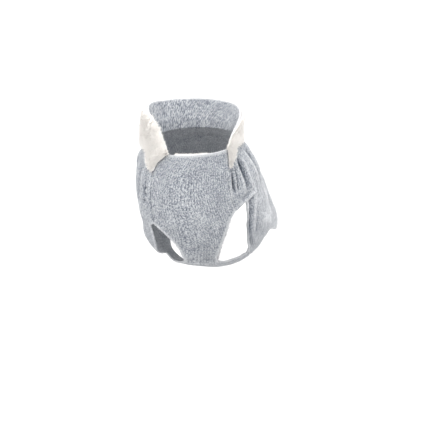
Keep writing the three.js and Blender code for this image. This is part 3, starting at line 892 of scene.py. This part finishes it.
# %% Spikes by the thousand
def spikes(roots, directions, lengths, widths, bends):
    """Closed three-sided spikes: a triangle at the root, a smaller one half way up, moved
    by half the bend, and a point at the end, moved by the whole bend."""
    d = unit(directions)
    helper = np.where(np.abs(d[:, 2:3]) < 0.9, [[0.0, 0.0, 1.0]], [[1.0, 0.0, 0.0]])
    side = unit(np.cross(d, helper))
    other = np.cross(d, side)
    rings = []
    for up, wide, bent in ((0.0, 1.0, 0.0), (0.5, 0.72, 0.35)):
        centre = roots + d * (lengths * up)[:, None] + bends * bent
        for a in (0.0, 2 * np.pi / 3, 4 * np.pi / 3):
            out = side * np.cos(a) + other * np.sin(a)
            rings.append(centre + out * (widths * wide / 2)[:, None])
    rings.append(roots + d * lengths[:, None] + bends)
    points = np.stack(rings, 1).reshape(-1, 3)
    one = np.array([
        (0, 2, 1), (0, 1, 4), (0, 4, 3), (1, 2, 5), (1, 5, 4), (2, 0, 3), (2, 3, 5),
        (3, 4, 6), (4, 5, 6), (5, 3, 6),
    ])
    faces = (one[None] + 7 * np.arange(len(roots))[:, None, None]).reshape(-1, 3)
    return points, faces


TIP = (0, 0, 0, 0.5, 0.5, 0.5, 1.0)   # how near the tip a spike's seven points are


def plush_piece(name, points, faces, tip):
    """A piece of plush, with how near the pile's tips its points are, over and over."""
    tips = {"tip": np.resize(tip, len(points))}
    return make_object(name, points, faces, PLUSH_LOOK, None, tips)


def pile_reach(across, rise):
    """How far the pile reaches at a place: full in the middle, thin at the edges."""
    middle = (np.where(rise < 0, rise * LAP_RISE, rise) + LAP_RISE) / (1 + TOP_RISE + LAP_RISE)
    round_up = np.clip(4 * middle * (1 - middle), 0, 1) ** 0.4
    full = along(COLLAR_EDGE["pile"], (across + 1) / 2 * (len(COLLAR_ROWS) - 1))
    return PLUSH_EDGE + (full - PLUSH_EDGE) * round_up


GROUND = 0.55          # the plush's ground is this part of the pile's reach


def plush_collar():
    """The plush's ground: a lumpy shell over the stand, thinner than the whole pile."""
    across, rise = np.meshgrid(np.linspace(-1, 1, 361), np.concatenate([
        np.linspace(1 + TOP_RISE, 0, 40), np.linspace(-0.2, -1, 5)]))
    base, normal = collar_point(across, rise), collar_normal(across, rise, LAP_UPRIGHT)
    lumps = 0.5 * soft_noise(base, 7, 21) + 0.25 * soft_noise(base, 3, 22)
    reach = COLLAR_GAP + pile_reach(across, rise) * GROUND * (1 + 0.22 * lumps)
    points, faces, _ = shell_mesh(base + normal * reach[..., None], base + normal * COLLAR_GAP, 0.5)
    return plush_piece("collar_plush", points, faces, 0.3)


def collar_pile(name, count, seed, width, longer, upright, from_ends=1.0):
    """Tufts or hairs over the collar, rooted in its ground and leaning down in soft locks.
    The pile turns over the free edge at the top, and spreads over the chest at the two
    ends. from_ends is the part of each half, from its end, that they are on."""
    draw = np.random.default_rng(seed)
    across = draw.uniform(-1, 1, count)
    across = np.sign(across) * (1 - (1 - np.abs(across)) * from_ends)
    place = draw.uniform(-0.09, 1 + TOP_RISE, count)
    rise = np.where(place < 0, place / 0.09, place)
    base, normal = collar_point(across, rise), collar_normal(across, rise, LAP_UPRIGHT)
    reach = pile_reach(across, rise)
    high = np.minimum(rise, 1)
    down = unit(collar_point(across, high - 0.1) - collar_point(across, high))
    sideways = unit(np.cross(normal, down))
    locks = soft_noise(base, 9, 32)[:, None] * sideways + soft_noise(base, 6, 33)[:, None] * down
    top = smooth(rise, 0.8, 1.05)[:, None]
    lean = (1.25 * (1 - 1.7 * top) * down + 0.55 * locks) * (1 - upright)
    direction = unit(normal * (1.0 - 0.35 * top) + lean + 0.35 * draw.normal(size=(count, 3)))
    roots = base + normal * (COLLAR_GAP + reach * GROUND * 0.8)[:, None]
    full = along(COLLAR_EDGE["pile"], (across + 1) / 2 * (len(COLLAR_ROWS) - 1))
    inside = np.clip(across, -0.98, 0.98)
    past_end = unit(collar_point(inside + 0.02, high) - collar_point(inside - 0.02, high))
    past_end *= np.sign(across)[:, None]
    spread = smooth(np.abs(across), 0.92, 1.0) * smooth(rise, 0.0, 0.3)
    direction = unit(direction + (1.3 * spread)[:, None] * past_end)
    fringe = spread + smooth(-rise, 0.2, 1.0)
    lengths = 0.9 + longer + 0.62 * np.maximum(reach, 0.75 * full * top[:, 0]) + 0.9 * fringe
    lengths *= draw.uniform(0.75, 1.2, count)
    bent = unit(down * (1 - 1.5 * top) + 0.6 * draw.normal(size=(count, 3)))
    bends = (0.28 * lengths)[:, None] * bent
    points, faces = spikes(roots, direction, lengths, width * draw.uniform(0.75, 1.25, count), bends)
    return plush_piece(name, points, faces, TIP)


collar = plush_collar()
pile = collar_pile("collar_pile", 19000, 31, 0.6, 0.0, 0.0)
fuzz = collar_pile("collar_fuzz", 15000, 36, 0.22, 0.9, 0.55)
fringe = collar_pile("collar_fringe", 2600, 38, 0.4, 0.6, 0.2, 0.035)

# %% [markdown]
# ### The strip behind the chest's top edge
#
# A narrow plush strip is sewn behind the top edge of the chest, and its pile shows over it
# as a thin cream line.

# %% The facing with its short pile
FACING_TURN, FACING_PEEK, FACING_ROWS, FACING, FACING_GAP = 31, 0.09, 0.32, 1.6, 0.3


def neck_facing():
    """The body's surface inside the knit, with a lumpy face and a row of short hairs."""
    turn, down = np.meshgrid(np.linspace(-FACING_TURN, FACING_TURN, 141), np.linspace(0, 1, 16))
    row = FACING_ROWS * down - FACING_PEEK * (1 - down) * (1 - smooth(turn, 2, 20))
    base, normal = body_point(turn, row), body_normal(turn, row)
    lumps = 0.2 * soft_noise(base, 3, 41)
    lie = creases(turn, row) + swells(turn, row) - KNIT - FACING_GAP
    outer = base + normal * lie[..., None]
    inner = outer - normal * (FACING + lumps)[..., None]
    points, faces, _ = shell_mesh(outer, inner, 0.5)
    strip = plush_piece("facing_plush", points, faces, 0.5)
    draw = np.random.default_rng(42)
    count = 2400
    turns = draw.uniform(-FACING_TURN, FACING_TURN, count)
    rows = draw.uniform(-FACING_PEEK, 0.03, count) + 0.1 * smooth(turns, 2, 20)
    place, out = body_point(turns, rows), body_normal(turns, rows)
    up = unit(body_point(turns, rows - 0.1) - place)
    depth = KNIT + FACING_GAP + draw.uniform(0.2, 1.4, count)
    direction = up + 0.5 * out + 0.45 * draw.normal(size=(count, 3))
    lengths = draw.uniform(0.9, 2.2, count)
    hairs, hair_faces = spikes(
        place - out * depth[:, None], direction, lengths, draw.uniform(0.25, 0.45, count),
        0.3 * draw.normal(size=(count, 3)))
    return strip, plush_piece("facing_pile", hairs, hair_faces, TIP)


facing, facing_pile = neck_facing()

# %% [markdown]
# ## The knit's loose fibres
#
# The knit is lightly brushed. Fine pale hairs stand along every cut edge, longest at the
# front of the wearer's left leg hole, and a thin haze of them lies over the whole face.

# %% Hairs along the edges and over the face
def fibres(cloth, rows, columns, lengths, width, out, along_cloth, seed):
    """Hairs rooted at picked grid points of a face, standing out of the cloth and along a
    given direction, with a random lean."""
    draw = np.random.default_rng(seed)
    face, normal = (grid[rows, columns] for grid in cloth)
    roots = face + 0.25 * draw.normal(size=face.shape)
    lean = 0.5 * draw.normal(size=face.shape)
    bends = (0.3 * lengths)[:, None] * unit(draw.normal(size=face.shape))
    widths = np.full(len(rows), width)
    return spikes(roots - normal * 0.3, normal * out + along_cloth + lean, lengths, widths, bends)


def loose_fibres():
    """All the knit's hairs as one piece: along the leg holes' edges, with longer ones at
    the front of the left one, along both hems, and over the two faces."""
    draw = np.random.default_rng(50)
    chest_cloth, back_cloth = (chest_face, chest_normal), (back_face, back_normal)
    chest_at, back_at = (rim_order(*cloth[0].shape[:2])[0] for cloth in (chest_cloth, back_cloth))
    left_front = (chest_at[:, 1] > 0) & side_between(chest_at, CHEST_ROWS, 3.3, 5.2)
    chest_hem, back_hem = (at[:, 0] == at[:, 0].max() for at in (chest_at, back_at))
    edges = (
        # a cloth, the points of its rim, how many hairs, and their shortest and longest
        (chest_cloth, side_between(chest_at, CHEST_ROWS, 3.0, 6.3), 1500, (0.6, 1.6)),
        (chest_cloth, left_front, 420, (1.6, 3.8)),
        (chest_cloth, chest_hem, 500, (0.6, 1.5)),
        (back_cloth, side_between(back_at, BACK_ROWS, 3.0, 6.3) | back_hem, 2600, (0.6, 1.7)),
    )
    found = []
    for k, (cloth, where, count, reach) in enumerate(edges):
        face = cloth[0]
        at, inside = rim_order(*face.shape[:2])
        pick = np.random.default_rng(60 + k).choice(np.flatnonzero(where), count)
        rows, columns = at[pick].T
        away = unit(face[rows, columns] - face[tuple(inside[pick].T)])
        lengths = draw.uniform(*reach, count)
        found.append(fibres(cloth, rows, columns, lengths, 0.16, 0.25, away * 1.2, 70 + k))
    for k, (cloth, count) in enumerate(((chest_cloth, 3200), (back_cloth, 5200))):
        rows, columns = (draw.integers(3, size - 3, count) for size in cloth[0].shape[:2])
        lengths = draw.uniform(0.5, 1.2, count)
        lying = 0.8 * unit(draw.normal(size=(count, 3)))
        found.append(fibres(cloth, rows, columns, lengths, 0.13, 0.55, lying, 80 + k))
    sizes = np.cumsum([0] + [len(points) for points, _ in found])
    points = np.concatenate([points for points, _ in found])
    faces = np.concatenate([faces + start for (_, faces), start in zip(found, sizes)])
    uv = np.stack([points[:, 0] * 0.4, points[:, 2] * 0.4], -1)
    marks = {"edge": np.full(len(points), 0.9)}
    return make_object("knit_fibres", points, faces, KNIT_LOOK, uv, marks)


hairs = loose_fibres()

# %% [markdown]
# ## What stands for what
#
# Each shell stands for its CAD solid and rides on the one body. The table also lists each
# sheet's slot and the flat size that it was cut to.

# %% Bodies, slots and flat sizes
PIECES = (
    # piece, the node it replaces, slot, flat width and length, flat area, smaller pieces
    (chest, "chest_panel", "knit", (0.096, 0.178), 0.0110, [hairs]),
    (back, "back_panel", "knit", (0.345, 0.194), 0.0450, []),
    (stand, "neck_stand", "knit", (0.257, 0.036), 0.0051, []),
    (collar, "collar", "plush", (0.257, 0.038), 0.0055, [pile, fuzz, fringe]),
    (facing, "neck_facing", "plush", (0.053, 0.010), 0.00040, [facing_pile]),
)
for piece, node, slot, flat, area, small in PIECES:
    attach(piece, "root")
    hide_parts(node)
    for part in small:
        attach(part, "root")
print("pieces", [piece[0].name for piece in PIECES])

# %% [markdown]
# ## Camera, floor and light
#
# The view is from a little to the wearer's left, near the height of the chest. The floor is
# a white light table where the wearer would stand: it glows evenly, so nothing on it looks
# grey. A white sky gives soft light from all sides. A broad sun from behind the wearer's
# left brightens the back and that shoulder, and two weaker ones model the front and the
# wearer's right.

# %% The camera
TURN, LOOK_DOWN, LENS, SENSOR, DISTANCE = 14.0, 4.0, 120.0, 36.0, 1440.0
AIM_RIGHT, AIM_DOWN = 19.46, 77.34    # the middle of the view from the neck opening, in mm


def camera():
    """The camera stands back along its view from a point beside and below the neck: its
    own axes are right, up and backwards."""
    data = bpy.data.cameras.new("camera")
    data.lens, data.sensor_width, data.clip_end = LENS, SENSOR, 100
    view = put_in_scene("camera", data)
    view.rotation_euler = (np.radians(90 - LOOK_DOWN), 0, np.radians(TURN))
    away = Vector((AIM_RIGHT, -AIM_DOWN, DISTANCE)) * MM
    view.location = view.rotation_euler.to_matrix() @ away
    bpy.context.scene.camera = view
    return view


print("camera", camera().location)


# %% The floor and the light
FLOOR_Z, FLOOR_REACH = -0.245, 30.0   # in metres
SKY, FLOOR_TONE, FLOOR_GLOW = 1.6, 0.15, 0.75
WHITE = (1, 1, 1, 1)


def floor():
    """A wide pale floor where the wearer stands."""
    mesh = bpy.data.meshes.new("floor")
    low, high = -FLOOR_REACH, FLOOR_REACH
    corners = ((low, low), (high, low), (high, high), (low, high))
    mesh.from_pydata([(x, y, FLOOR_Z) for x, y in corners], [], [(0, 1, 2, 3)])
    material, _, shader = new_material("floor", 0.9, 0.0, 0.5)
    set_inputs(shader, {
        "Base Color": (FLOOR_TONE, FLOOR_TONE, FLOOR_TONE, 1), "Emission Color": WHITE,
        "Emission Strength": FLOOR_GLOW,
    })
    mesh.materials.append(material)
    put_in_scene("floor", mesh)


def sun(name, azimuth, elevation, strength, softness, colour):
    """A broad sun from a compass direction, measured as the camera's turn is."""
    data = bpy.data.lights.new(name, "SUN")
    data.energy, data.angle, data.color = strength, np.radians(softness), colour
    put_in_scene(name, data).rotation_euler = (np.radians(90 - elevation), 0, np.radians(azimuth))


def sky():
    """An even white sky, brighter than the floor, so the cloth's undersides are darker."""
    world = bpy.data.worlds.new("sky")
    world.use_nodes = True
    set_inputs(world.node_tree.nodes["Background"], {"Color": WHITE, "Strength": SKY})
    bpy.context.scene.world = world


floor()
sky()
sun("back light", 158, 58, 3.0, 35, (1.0, 0.97, 0.94))
sun("front light", -5, 40, 0.62, 60, (1.0, 0.99, 0.98))
sun("side light", -95, 30, 0.7, 60, (1.0, 0.98, 0.96))
bpy.context.scene.view_settings.view_transform = "Standard"
